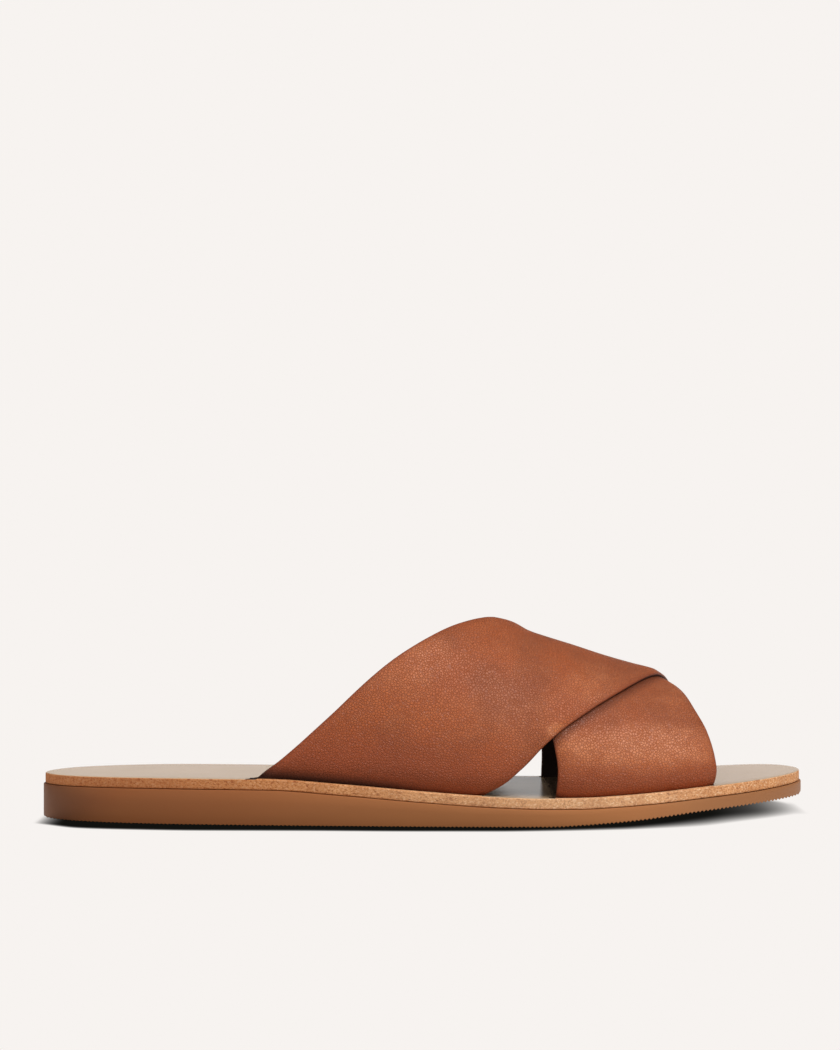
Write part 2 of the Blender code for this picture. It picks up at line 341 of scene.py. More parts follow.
camera_data = bpy.data.cameras.new("camera")
camera_data.lens = LENS
camera_data.sensor_width = SENSOR
camera_data.sensor_fit = "AUTO"
camera_data.clip_start = 0.01
camera_data.clip_end = 100
camera = bpy.data.objects.new("camera", camera_data)
camera.location = CAMERA_PLACE
camera.rotation_euler = (math.radians(90), 0, 0)
bpy.context.scene.collection.objects.link(camera)
bpy.context.scene.camera = camera
print("a lens of", LENS, "mm at", [round(value, 3) for value in CAMERA_PLACE], "m")

# %% [markdown]
# ## Working as by hand
# Edit mode's operators act on whatever is selected, so each step starts by selecting nothing and then
# picks its object. A piece starts as a grid, which brings its own UV map: it goes on counting the share
# along and across the leather after the sheet is bent, and the finishes use that.


# %% Helpers for modelling
def select_only(piece):
    """Makes piece the one selected and active object."""
    bpy.ops.object.select_all(action="DESELECT")
    piece.select_set(True)
    bpy.context.view_layer.objects.active = piece


def bent_sheet(name, rows, columns, place):
    """A grid whose corners are laid where place(share along, share across) says, facing outwards."""
    bpy.ops.object.select_all(action="DESELECT")
    bpy.ops.mesh.primitive_grid_add(x_subdivisions=rows, y_subdivisions=columns, size=1)
    sheet = bpy.context.object
    sheet.name = name
    sheet.data.name = name
    for corner in sheet.data.vertices:
        corner.co = place(corner.co.x + 0.5, 0.5 - corner.co.y)
    return sheet


def apply_modifier(piece, kind, **settings):
    """Adds a modifier with these settings and applies it."""
    select_only(piece)
    modifier = piece.modifiers.new(kind.lower(), kind)
    for name, value in settings.items():
        setattr(modifier, name, value)
    bpy.ops.object.modifier_apply(modifier=modifier.name)


def clean(piece):
    """Closes the seams where rows of a grid meet in a point, and turns all faces outwards."""
    select_only(piece)
    bpy.ops.object.mode_set(mode="EDIT")
    bpy.ops.mesh.select_all(action="SELECT")
    bpy.ops.mesh.remove_doubles(threshold=0.01 * MM)
    bpy.ops.mesh.dissolve_degenerate(threshold=0.002 * MM)
    bpy.ops.mesh.normals_make_consistent(inside=False)
    bpy.ops.object.mode_set(mode="OBJECT")


def place_on_shoe(piece, slot, *nodes, smooth_angle=40):
    """Smooths a finished piece, hides the solids it replaces and makes it move with the shoe."""
    select_only(piece)
    bpy.ops.object.shade_smooth_by_angle(angle=math.radians(smooth_angle))
    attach(piece, "root")
    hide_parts(*nodes)
    print(piece.name, "has", sum(len(face.vertices) - 2 for face in piece.data.polygons), "triangles")


# %% [markdown]
# ## Slabs of the sole
# Each layer of the sole is cut from sheet or moulded in a flat tool, so it starts as a sheet with the
# sole's outline. Extruding the whole sheet upwards in steps makes its side: at each step the cap is laid
# again a little further in or out, which gives the rounded corners and the ledge of the real edge.


# %% A slab from its outline
def slab(name, stations, columns, side_steps):
    """Extrudes a sheet of the sole's outline through side_steps(heel_distance), from bottom to top."""
    rows = len(stations) - 1

    def spot(along, across, step):
        heel_distance = stations[round(along * rows)]
        inset, height = side_steps(heel_distance)[step]
        side = "outer" if across < 0.5 else "inner"
        return layer_point(side, heel_distance, inset, height, abs(2 * across - 1))

    piece = bent_sheet(name, rows, columns, lambda along, across: spot(along, across, 0))
    mesh = piece.data
    share = mesh.attributes.new("share", "FLOAT_VECTOR", "POINT")
    for index in range(len(mesh.vertices)):
        row, place = index % (rows + 1), index // (rows + 1)
        share.data[index].vector = (row / rows, 1 - place / columns, 0)
    for step in range(1, len(side_steps(stations[0]))):
        select_only(piece)
        bpy.ops.object.mode_set(mode="EDIT")
        if step == 1:
            bpy.ops.mesh.select_all(action="SELECT")
        bpy.ops.mesh.extrude_region_move(TRANSFORM_OT_translate={"value": (0, 0, 0.1 * MM)})
        bpy.ops.object.mode_set(mode="OBJECT")
        shares = mesh.attributes["share"].data
        for corner in mesh.vertices:
            if corner.select:
                along, across, _ = shares[corner.index].vector
                corner.co = spot(along, across, step)
    mesh.attributes.remove(mesh.attributes["share"])
    clean(piece)
    return piece


def even_stations(count):
    """Stations along the sole that draw together towards both tips, as on a circle."""
    return [SOLE_LENGTH * (1 - math.cos(math.pi * k / count)) / 2 for k in range(count + 1)]


# %% [markdown]
# ## Outsole
# The rubber outsole has fine ribs across its underside, which show along the lower edge as a row of
# small pointed teeth, shallow at the heel and deeper towards the toe. They are real shape here: two
# stations to each rib, one in the groove and one on its crown. Towards both tips a few closer stations
# keep the outline round.

# %% Outsole
RIB_PITCH = 1.35 * MM
RIB_DEPTH = 0.75 * MM
# (share of the pitch, lift of the underside there): first the groove, then the crown
GROOVE_AND_CROWN = ((0.0, RIB_DEPTH), (0.5, 0.0))
HEEL_RIB_SHARE = 0.35
TOE_RIB_SHARE = 0.75
RIBS_DEEPEN = (90 * MM, 220 * MM)
TOE_DROP = 0.3 * MM
TOE_DROPS = (178 * MM, 200 * MM)
TIP_STATIONS = [0.0, 0.02 * MM, 0.08 * MM, 0.2 * MM, 0.4 * MM, 0.7 * MM]
OUTSOLE_COLUMNS = 6

rib_count = int((SOLE_LENGTH - 2 * TIP_STATIONS[-1]) / RIB_PITCH)
rib_start = (SOLE_LENGTH - rib_count * RIB_PITCH) / 2
rib_lift = {}
for rib in range(rib_count):
    for share, lift in GROOVE_AND_CROWN:
        rib_lift[rib_start + (rib + share) * RIB_PITCH] = lift
for tip in TIP_STATIONS:
    rib_lift[tip] = RIB_DEPTH
    rib_lift[SOLE_LENGTH - tip] = RIB_DEPTH
outsole_stations = sorted(rib_lift)


def outsole_steps(heel_distance):
    """The outsole's side: ribbed foot, rounded lower corner, upright wall and crisp upper corner."""
    ground = ground_height(heel_distance) - TOE_DROP * smooth_between(heel_distance, *TOE_DROPS)
    rim = rim_height(heel_distance)
    deeper = (TOE_RIB_SHARE - HEEL_RIB_SHARE) * smooth_between(heel_distance, *RIBS_DEEPEN)
    groove = rib_lift[heel_distance] * (HEEL_RIB_SHARE + deeper)
    return [
        (0.3 * MM, ground + groove),
        (0.05 * MM, ground + 0.1 * MM + groove),
        (0.0, ground + 1.1 * MM),
        (0.0, ground + 0.35 * (rim - ground)),
        (0.0, ground + 0.65 * (rim - ground)),
        (0.0, rim - 0.35 * MM),
        (0.1 * MM, rim - 0.08 * MM),
        (0.35 * MM, rim),
    ]


outsole = slab("outsole_rubber", outsole_stations, OUTSOLE_COLUMNS, outsole_steps)
place_on_shoe(outsole, "outsole_rubber", "outsole", smooth_angle=35)

# %% [markdown]
# ## Board and insole
# The board is thick vegetable tanned leather, cut through with a knife and left raw at the edge. The
# insole is a thin smooth leather stuck on it, with its upper edge rubbed down. The straps go through
# both, so the slots are cut with the same curved tools. The outer slots are a little longer at the rear,
# where the photograph shows the end of one.

# %% Slot tools
SLOT_ROWS = 40
SLOT_CLEARANCE = 0.8 * MM
SLOT_NEAR = RIM_LEDGE + STRAP_SLOT_INSET - SLOT_CLEARANCE
SLOT_FAR = RIM_LEDGE + STRAP_SLOT_INSET + STRAP_THICKNESS + SLOT_CLEARANCE
TOOL_BELOW = 1 * MM
TOOL_HEIGHT = 8 * MM


def slot_tool(side, rear, front):
    """A curved bar that follows the sole's edge, standing where one strap end goes down."""
    start = rear - (SLOT_REAR_ROOM if side == "outer" else SLOT_FRONT_ROOM)
    end = front + SLOT_FRONT_ROOM

    def place(along, across):
        heel_distance = start + along * (end - start)
        y = inset_edge(side, heel_distance, SLOT_NEAR + across * (SLOT_FAR - SLOT_NEAR))
        return Vector((heel_distance - SOLE_LENGTH / 2, y, rim_height(heel_distance) - TOOL_BELOW))

    tool = bent_sheet("slot_tool", SLOT_ROWS, 1, place)
    select_only(tool)
    bpy.ops.object.mode_set(mode="EDIT")
    bpy.ops.mesh.select_all(action="SELECT")
    bpy.ops.mesh.extrude_region_move(TRANSFORM_OT_translate={"value": (0, 0, TOOL_HEIGHT)})
    bpy.ops.object.mode_set(mode="OBJECT")
    clean(tool)
    return tool


SlotSpan = namedtuple("SlotSpan", "side rear front")
slot_tools = []
slot_spans = []
for side, turn in (("outer", 0.0), ("inner", 1.0)):
    for strap_name in ("over", "under"):
        rear = strap_edge[strap_name + "_rear"](turn)
        front = strap_edge[strap_name + "_front"](turn)
        slot_tools.append(slot_tool(side, rear, front))
        slot_spans.append(SlotSpan(side, rear, front))
        print("slot on the", side, "side from", round(rear / MM), "to", round(front / MM), "mm")


def cut_slots(piece):
    """Cuts all four slots through a layer."""
    for tool in slot_tools:
        apply_modifier(piece, "BOOLEAN", operation="DIFFERENCE", solver="EXACT", object=tool)


# %% [markdown]
# ### Board
# The board carries the shoe's shape. It is cut a little inside the rubber's outline, so that a narrow
# ledge of rubber shows all round, and its upright edge is left as the knife made it.

# %% Board
BOARD_SEAM = 0.2 * MM


def board_steps(heel_distance):
    """The board's raw edge, cut upright, with its corners just broken."""
    floor = rim_height(heel_distance) + BOARD_SEAM
    top = foot_height(heel_distance) - INSOLE_THICKNESS - 0.02 * MM
    return [
        (RIM_LEDGE + 0.22 * MM, floor),
        (RIM_LEDGE + 0.04 * MM, floor + 0.15 * MM),
        (RIM_LEDGE, floor + 0.5 * MM),
        (RIM_LEDGE, floor + 0.5 * (top - floor)),
        (RIM_LEDGE, top - 0.3 * MM),
        (RIM_LEDGE + 0.02 * MM, top),
    ]


board = slab("board_leather", even_stations(260), 4, board_steps)
cut_slots(board)
place_on_shoe(board, "board_leather", "midsole", smooth_angle=50)


# %% [markdown]
# ### Insole
# The insole's edge lies flush with the board's and is rubbed round at the top, which catches a thin line of
# light. More columns than in the board keep its broad glossy face smooth.


# %% Insole
def insole_steps(heel_distance):
    """The insole's cut edge, rubbed round at the top."""
    top = foot_height(heel_distance)
    floor = top - INSOLE_THICKNESS
    return [
        (RIM_LEDGE + 0.02 * MM, floor),
        (RIM_LEDGE + 0.02 * MM, top - 0.35 * MM),
        (RIM_LEDGE + 0.12 * MM, top - 0.12 * MM),
        (RIM_LEDGE + 0.35 * MM, top - 0.02 * MM),
        (RIM_LEDGE + 0.9 * MM, top),
    ]


insole = slab("insole_leather", even_stations(260), 12, insole_steps)
cut_slots(insole)
for tool in slot_tools:
    bpy.data.objects.remove(tool)
place_on_shoe(insole, "insole_leather", "insole", smooth_angle=50)

# %% [markdown]
# ## The section of a strap
# A strap is a thin leather folded under along both long edges, over a filler. Its section is drawn once,
# as steps from the turned-under flap round the folded edge, up the shoulder and across the flat, and the
# grid's columns follow it. The over strap is lifted where the under strap passes below it, and eases
# back down well beyond that strap's edges, since leather that thick does not bend sharply.

# %% The section of a strap
STRAP_ROWS = 200
TAIL_ROWS = 6
FLAT_COLUMNS = 64
FLAP = 3 * MM
SHOULDER = 4 * MM
NOSE_STEPS = 8
SHOULDER_STEPS = 6
LEATHER = 0.5 * MM
STRAP_LIFT = 2.15 * MM
LIFT_OUTSIDE = 14 * MM
LIFT_INSIDE = 8 * MM


def edge_steps():
    """(distance in from the edge, height) from the flap round the fold to the end of the shoulder."""
    radius = STRAP_EDGE_THICKNESS / 2
    steps = [(FLAP, 0.0), (1.5 * radius, 0.0)]
    for k in range(NOSE_STEPS + 1):
        angle = math.pi * (k / NOSE_STEPS - 0.5)
        steps.append((radius - radius * math.cos(angle), radius + radius * math.sin(angle)))
    rise = STRAP_THICKNESS - STRAP_EDGE_THICKNESS
    for k in range(1, SHOULDER_STEPS + 1):
        inwards = radius + (SHOULDER - radius) * k / SHOULDER_STEPS
        steps.append((inwards, STRAP_EDGE_THICKNESS + rise * smooth_between(inwards, 0.0, SHOULDER)))
    return steps


EDGE_STEPS = edge_steps()
STRAP_COLUMNS = 2 * len(EDGE_STEPS) + FLAT_COLUMNS - 2


def section(column_number, breadth):
    """Distance from the strap's rear edge and height above the last, for one column of the grid."""
    if column_number < len(EDGE_STEPS):
        return EDGE_STEPS[column_number]
    from_end = STRAP_COLUMNS - column_number
    if from_end < len(EDGE_STEPS):
        inwards, height = EDGE_STEPS[from_end]
        return breadth - inwards, height
    share = (column_number - len(EDGE_STEPS) + 1) / FLAT_COLUMNS
    return SHOULDER + share * (breadth - 2 * SHOULDER), STRAP_THICKNESS


def lift_over_under_strap(heel_distance, turn):
    """How far the over strap is raised by the under strap below it."""
    inside = min(heel_distance - strap_edge["under_rear"](turn),
                 strap_edge["under_front"](turn) - heel_distance)
    return STRAP_LIFT * smooth_between(inside, -LIFT_OUTSIDE, LIFT_INSIDE)


def no_lift(_heel_distance, _turn):
    """The under strap lies on the last itself."""
    return 0.0


print("a strap's grid has", STRAP_COLUMNS, "columns,", len(EDGE_STEPS), "of them at each edge")

# %% [markdown]
# ## Straps
# Each strap is one sheet laid on the last between its two edges, with the section's height along the
# last's normal. Solidify then gives the sheet the leather's thickness. The last rows at each end are tails
# that go straight down, so the strap really stands in its slots.


# %% Straps
def strap_reach(strap_name, turn):
    """Distances from the heel to a strap's rear and front edges."""
    return strap_edge[strap_name + "_rear"](turn), strap_edge[strap_name + "_front"](turn)


def on_strap(lift, heel_distance, turn, height, beyond=0.0):
    """A point height above the last; beyond is 0 above the insole and 1 at the end of the tail."""
    point = last_point(heel_distance, turn)
    point += (lift(heel_distance, turn) + height) * last_normal(heel_distance, turn)
    point.z -= beyond * (BOARD_THICKNESS + INSOLE_THICKNESS + LAYER_GAP)
    return point


def strap(strap_name, lift):
    """The leather of one strap, with its tails going down into the slots."""
    tail = TAIL_ROWS / STRAP_ROWS

    def place(along, across):
        turn = (along - tail) / (1 - 2 * tail)
        beyond = max(-turn, turn - 1, 0.0) * (1 - 2 * tail) / tail
        turn = min(max(turn, 0.0), 1.0)
        rear, front = strap_reach(strap_name, turn)
        inwards, height = section(round(across * STRAP_COLUMNS), front - rear)
        return on_strap(lift, rear + inwards, turn, height, beyond)

    piece = bent_sheet(f"strap_{strap_name}", STRAP_ROWS, STRAP_COLUMNS, place)
    apply_modifier(piece, "SOLIDIFY", thickness=LEATHER, offset=-1.0)
    return piece


strap_over = strap("over", lift_over_under_strap)
strap_under = strap("under", no_lift)
place_on_shoe(strap_over, "strap_leather", "upper", smooth_angle=60)
place_on_shoe(strap_under, "strap_leather", "upper", smooth_angle=60)

# %% [markdown]
# ## Linings
# Inside, each strap is lined with thin dark suede that stops just short of the folded edges. It is the
# same sheet again, drawn in from the edges and a little proud of the leather.

# %% Linings
LINING_INSET = 0.3 * MM
LINING_THICKNESS = 0.3 * MM
LINING_PROUD = 0.15 * MM
LINING_ROWS = 120
LINING_COLUMNS = 40


def lining(strap_name, lift):
    """The lining of one strap, on its inner face."""
    def place(along, across):
        rear, front = strap_reach(strap_name, along)
        inwards = LINING_INSET + across * (front - rear - 2 * LINING_INSET)
        return on_strap(lift, rear + inwards, along, -LINING_PROUD)

    piece = bent_sheet(f"lining_{strap_name}", LINING_ROWS, LINING_COLUMNS, place)
    apply_modifier(piece, "SOLIDIFY", thickness=LINING_THICKNESS, offset=1.0)
    return piece


lining_over = lining("over", lift_over_under_strap)
lining_under = lining("under", no_lift)
place_on_shoe(lining_over, "strap_leather", "upper")
place_on_shoe(lining_under, "strap_leather", "upper")

# %% [markdown]
# ## The seam where the straps cross
# Along the front edge of the over strap a soft shadow falls on the under strap, and the leather there is
# painted darker as painted shade. Each corner of the under strap is given its nearness to that edge as an
# attribute, which the leather's finish reads below.

# %% The seam where the straps cross
SEAM_SHADE_REACH = 4.5 * MM
SEAM_POINTS = 400

seam = KDTree(SEAM_POINTS + 1)
for index in range(SEAM_POINTS + 1):
    turn = index / SEAM_POINTS
    heel_distance = strap_edge["over_front"](turn)
    seam.insert(on_strap(lift_over_under_strap, heel_distance, turn, 0.0), index)
seam.balance()
nearness = [max(0.0, 1 - seam.find(corner.co)[2] / SEAM_SHADE_REACH) for corner in strap_under.data.vertices]
strap_under.data.attributes.new("seam", "FLOAT", "POINT").data.foreach_set("value", nearness)
print("corners near the seam:", sum(value > 0 for value in nearness), "of", len(nearness))

# %% [markdown]
# ## Finishes
# Each finish is a small tree of shader nodes, written as sums. The class below wraps a socket so that
# plus, minus and times add the Math nodes, and its node method adds any other node.


# %% Shader sums
class Flow:
    """An output socket of a material that can be used in sums and fed to other nodes."""

    def __init__(self, tree, socket=None):
        self.tree = tree
        self.socket = socket

    def node(self, kind, settings=None, inputs=None, output=0):
        """Adds a node: its settings first, then the values or links of its sockets."""
        node = self.tree.nodes.new(kind)
        for name, value in (settings or {}).items():
            setattr(node, name, value)
        for name, value in (inputs or {}).items():
            if isinstance(value, Flow):
                self.tree.links.new(value.socket, node.inputs[name])
            else:
                node.inputs[name].default_value = value
        return Flow(self.tree, node.outputs[output])

    def sum(self, operation, first, second):
        """Adds a Math node."""
        return self.node("ShaderNodeMath", {"operation": operation}, {0: first, 1: second})

    def __add__(self, other):
        return self.sum("ADD", self, other)

    def __sub__(self, other):
        return self.sum("SUBTRACT", self, other)

    def __mul__(self, other):
        return self.sum("MULTIPLY", self, other)

    def __rsub__(self, other):
        return self.sum("SUBTRACT", other, self)

    __radd__ = __add__
    __rmul__ = __mul__

    def least(self, other):
        """The smaller of the two."""
        return self.sum("MINIMUM", self, other)

    def ramp(self, low, high):
        """0 below low, 1 above high and smooth between."""
        inputs = {"Value": self, "From Min": low, "From Max": high}
        return self.node("ShaderNodeMapRange", {"interpolation_type": "SMOOTHSTEP"}, inputs)

    def mix(self, first, second):
        """A colour between first and second, by this share."""
        settings = {"data_type": "RGBA", "blend_type": "MIX"}
        return self.node("ShaderNodeMix", settings, {0: self, 6: first, 7: second}, output=2)


print("a sum can use", [name for name in dir(Flow) if not name.startswith("_")])

# %% [markdown]
# ### Helpers for finishes
# The finishes share a few textures. All of them read the piece's own coordinates in metres, so a period is
# a real size: grain half a millimetre across looks the same on every piece.


# %% Helpers for finishes
def new_finish(name, roughness, specular=0.5):
    """A new material: returns it, the start of its sums and its shader."""
    material = bpy.data.materials.new(name)
    material.use_nodes = True
    shader = material.node_tree.nodes["Principled BSDF"]
    shader.inputs["Roughness"].default_value = roughness
    shader.inputs["Specular IOR Level"].default_value = specular
    return material, Flow(material.node_tree), shader


def feed(flow, shader, name):
    """Links a sum to one of the shader's sockets."""
    flow.tree.links.new(flow.socket, shader.inputs[name])


def in_object(start):
    """Object coordinates, which are the shoe's own metres."""
    return start.node("ShaderNodeTexCoord", output=3)


def noise(start, where, period, detail=2.0, rough=0.5, distortion=0.0):
    """Soft noise between 0 and 1 whose blobs are about period metres across."""
    inputs = {"Vector": where, "Scale": 1 / period, "Detail": detail, "Roughness": rough,
              "Distortion": distortion}
    return start.node("ShaderNodeTexNoise", inputs=inputs)


def cells(start, where, period, smoothness=0.6):
    """Rounded cells about period metres across: 0 in each one's middle, rising to its border."""
    inputs = {"Vector": where, "Scale": 1 / period, "Smoothness": smoothness}
    return start.node("ShaderNodeTexVoronoi", {"feature": "SMOOTH_F1"}, inputs)


def stretched(start, where, scale):
    """Coordinates stretched by scale along X, Y and Z."""
    return start.node("ShaderNodeMapping", inputs={"Vector": where, "Scale": scale})


def bump(height, depth):
    """A normal from a height of 0 to 1 that stands for depth metres."""
    return height.node("ShaderNodeBump", inputs={"Height": height, "Distance": depth})


def dress(piece, *finishes):
    """Gives a piece its finishes and nothing else."""
    piece.data.materials.clear()
    for finish in finishes:
        piece.data.materials.append(finish)
    print(piece.name, "is finished with", [finish.name for finish in finishes])


def split_up(start, where):
    """X, Y and Z of coordinates as three sums."""
    split = start.node("ShaderNodeSeparateXYZ", inputs={0: where}).socket.node
    return [Flow(start.tree, output) for output in split.outputs]


# %% [markdown]
# ### Painted highlights
# Where the outer side swells most the leather is painted paler and glossier. These spots are painted
# highlights that stand in for the lamp's glint on the swelling leather, and they carry paler painted glints
# of their own. The spots are soft ellipses, given in the shoe's own millimetres, and they fade out towards
# the inner side.

# %% Painted highlights
HighlightSpot = namedtuple("HighlightSpot", "heel_distance height half_length half_height share")
PAINTED_HIGHLIGHTS = [HighlightSpot(*row) for row in [
    (199, 25.0, 27, 8.5, 0.66),
    (174, 25, 9, 10, 0.35),
    (200, 12, 26, 7, 0.18),
    (214, 43, 13, 10, 0.17),
    (170, 31.2, 3.5, 2.5, 1.0),
    (182, 45, 11, 7, 0.25),
    (140, 36, 34, 9, 0.1),
    (119, 54, 20, 13, 0.28),
]]
HIGHLIGHT_FADE = (5 * MM, 25 * MM)


def highlight_share(spot, x, z):
    """How strongly one painted highlight shows, from its middle outwards."""
    from_middle_x = (x - (spot.heel_distance * MM - SOLE_LENGTH / 2)) * (1 / (spot.half_length * MM))
    from_middle_z = (z - spot.height * MM) * (1 / (spot.half_height * MM))
    off = from_middle_x * from_middle_x + from_middle_z * from_middle_z
    return (1 - off.ramp(0.0, 1.3)) * spot.share


print("spots rubbed pale on the straps:", len(PAINTED_HIGHLIGHTS))

# %% [markdown]
# ### Cognac strap leather
# The leather is dyed through and lightly pulled over the last, so it has a fine pebbled grain and broad
# soft patches that are more orange or more brown. Shade is painted over that: in the grain's valleys, on
# the folded edges and under them, along the seam where the straps cross, and towards the strap's feet,
# darkest where the ends go into the slots. The folded edges are partly darker leather and partly painted
# shade. The paler, glossier spots are painted highlights. The UV map's two shares run along and across the
# strap, so they find the ends and the folds.

# %% Cognac strap leather
COGNAC_ORANGE = (0.37, 0.088, 0.024, 1)
COGNAC_BROWN = (0.305, 0.078, 0.025, 1)
COGNAC_PALE = (0.42, 0.130, 0.048, 1)
# The next two colours are painted highlights: a paler, glossier tone and the paler glints laid into it.
COGNAC_HIGHLIGHT = (0.52, 0.165, 0.060, 1)
COGNAC_GLINT = (0.66, 0.25, 0.115, 1)
COGNAC_FOLD_SHADE = (0.23, 0.050, 0.014, 1)
COGNAC_LOW_SHADE = (0.245, 0.045, 0.012, 1)
COGNAC_VALLEY_SHADE = (0.17, 0.036, 0.011, 1)
COGNAC_FOOT_SHADE = (0.040, 0.011, 0.004, 1)
COGNAC_UNDERFOLD_SHADE = (0.060, 0.013, 0.005, 1)
COGNAC_SEAM_SHADE = (0.11, 0.025, 0.008, 1)
GRAIN_PERIOD = 0.85 * MM
GRAIN_DEPTH = 0.15 * MM
FOLD_COLUMNS = (7.0, 13.0)
UNDERFOLD_SHADE_COLUMNS = (5.0, 8.0)
FOOT_SHADE_REACH = (0.033, 0.045)
FOOT_SHADE_FADE = (-20 * MM, 15 * MM)
LOW_SHADE_REACH = (0.03, 0.13)


def strap_leather():
    """One grain, and over it patches, painted highlights, and painted shade in the valleys, at the folds,
    along the seam and at the feet.
    """
    material, start, shader = new_finish("strap_leather", roughness=0.4, specular=0.28)
    where = in_object(start)
    patches = noise(start, where, 26 * MM, detail=3, rough=0.55).ramp(0.40, 0.60)
    clouds = noise(start, where, 6 * MM, detail=5, rough=0.72)
    border = start.node("ShaderNodeTexVoronoi", {"feature": "DISTANCE_TO_EDGE"},
                        {"Vector": where, "Scale": 1 / GRAIN_PERIOD, "Randomness": 0.9})
    pebbles = border.ramp(0.0, 0.22)
    wrinkle = noise(start, where, 0.3 * MM, detail=2, rough=0.6)
    grain = pebbles * 0.85 + wrinkle * 0.15
    uv = start.node("ShaderNodeTexCoord", output=2)
    along, across, _ = split_up(start, uv)
    off_edge = across.least(1 - across) * STRAP_COLUMNS
    off_fold = off_edge.ramp(*FOLD_COLUMNS)
    off_base = along.least(1 - along)
    base = patches.mix(COGNAC_BROWN, COGNAC_ORANGE)
    base = (clouds.ramp(0.4, 0.75) * 0.35).mix(base, COGNAC_PALE)
    x, y, z = split_up(start, where)
    # Painted highlights: the spots are painted paler and glossier, with paler glints in them, and fade
    # towards the inner side.
    rubbed = sum(highlight_share(spot, x, z) for spot in PAINTED_HIGHLIGHTS) * (1 - y.ramp(*HIGHLIGHT_FADE))
    base = rubbed.mix(base, COGNAC_HIGHLIGHT)
    base = (rubbed * clouds.ramp(0.42, 0.6) * 0.5).mix(base, COGNAC_GLINT)
    # Painted shade in the grain: the valleys between the pebbles are painted darker.
    base = ((1 - pebbles) * 0.5).mix(base, COGNAC_VALLEY_SHADE)
    # Folded edges: partly darker leather, partly painted shade on the rounded fold.
    base = off_fold.mix(COGNAC_FOLD_SHADE, base)
    # Painted shade on the under strap along the over strap's front edge.
    seam_shade = start.node("ShaderNodeAttribute", {"attribute_name": "seam"}, output=2)
    base = (seam_shade.ramp(0.0, 1.0) * 0.8).mix(base, COGNAC_SEAM_SHADE)
    # Painted shade towards the strap's feet: first a broad darkening, then a near black one where the ends
    # go into the slots, strongest at the rear.
    base = ((1 - off_base.ramp(*LOW_SHADE_REACH)) * 0.75).mix(base, COGNAC_LOW_SHADE)
    foot_shade = (1 - off_base.ramp(*FOOT_SHADE_REACH)) * (1 - x.ramp(*FOOT_SHADE_FADE) * 0.7)
    base = foot_shade.mix(base, COGNAC_FOOT_SHADE)
    # Painted shade: the flap and the underside of the fold are painted near black, for the dark gap under
    # the folded edge.
    underfold_shade = 1 - off_edge.ramp(*UNDERFOLD_SHADE_COLUMNS)
    base = underfold_shade.mix(base, COGNAC_UNDERFOLD_SHADE)
    feed(base, shader, "Base Color")
    feed(0.46 - 0.05 * pebbles - 0.16 * rubbed + 0.35 * (foot_shade + underfold_shade), shader, "Roughness")
    feed(bump(grain, GRAIN_DEPTH), shader, "Normal")
    return material


leather = strap_leather()
for piece in (strap_over, strap_under):
    dress(piece, leather)

# %% [markdown]
# ### Dark suede lining
# Suede is matt and has a short nap, which a fine noise in colour and bump gives.

# %% Dark suede lining
# The lining is dark suede, and its near black tone also stands in for the deep shade inside the straps.
SUEDE_DARK = (0.016, 0.009, 0.007, 1)
SUEDE_LIGHT = (0.034, 0.018, 0.013, 1)


def lining_suede():
    """Dark suede with a short nap."""
    material, start, shader = new_finish("lining_suede", roughness=0.9, specular=0.1)
    where = in_object(start)
    nap = noise(start, where, 0.5 * MM, detail=3, rough=0.7)
    feed(nap.mix(SUEDE_DARK, SUEDE_LIGHT), shader, "Base Color")
    feed(bump(nap, 0.05 * MM), shader, "Normal")
    return material


suede = lining_suede()
for piece in (lining_over, lining_under):
    dress(piece, suede)

# %% [markdown]
# ### Raw board edge
# A cut through thick tanned leather shows its fibres end on: a tan ground with pale and rusty flecks half a
# millimetre long, and a rough broken surface. It is redder at the heel and paler round the ball. Inside the
# slots it is painted near black, as painted shade.

# %% Raw board edge
FIBRE_DARK = (0.25, 0.064, 0.018, 1)
FIBRE_TAN = (0.64, 0.28, 0.10, 1)
FIBRE_PALE = (0.80, 0.53, 0.32, 1)
HEEL_RED = (0.32, 0.080, 0.024, 1)
SLOT_SHADE = (0.03, 0.012, 0.006, 1)
EDGE_PALES = (-60 * MM, 60 * MM)
EDGE_DEEPENS = (60 * MM, 110 * MM)
EDGE_LESS_RED = (-110 * MM, 10 * MM)
FACING_UP = 0.9
FACING_SIDEWAYS = 0.5
SLOTS_REACH = (66 * MM, 230 * MM)


def raw_edge():
    """Thick leather cut through, with its fibres end on."""
    material, start, shader = new_finish("raw_edge", roughness=0.85, specular=0.2)
    where = in_object(start)
    fibres = stretched(start, where, (0.7, 1, 1))
    flecks = noise(start, fibres, 0.55 * MM, detail=4, rough=0.68, distortion=0.8)
    pores = cells(start, where, 0.6 * MM, smoothness=0.3)
    tone = noise(start, where, 9 * MM, detail=2)
    base = flecks.ramp(0.34, 0.51).mix(FIBRE_DARK, FIBRE_TAN)
    x, _, _ = split_up(start, where)
    forward = x.ramp(*EDGE_PALES)
    base = (flecks.ramp(0.53, 0.61) * (0.35 + 0.65 * forward)).mix(base, FIBRE_PALE)
    base = (forward * (0.34 - 0.26 * x.ramp(*EDGE_DEEPENS))).mix(base, FIBRE_PALE)
    base = (tone.ramp(0.42, 0.66) * 0.18).mix(base, FIBRE_DARK)
    base = ((1 - x.ramp(*EDGE_LESS_RED)) * 0.48).mix(base, HEEL_RED)
    feed(base, shader, "Base Color")
    feed(bump(flecks * 0.7 + (1 - pores) * 0.3, 0.2 * MM), shader, "Normal")
    return material


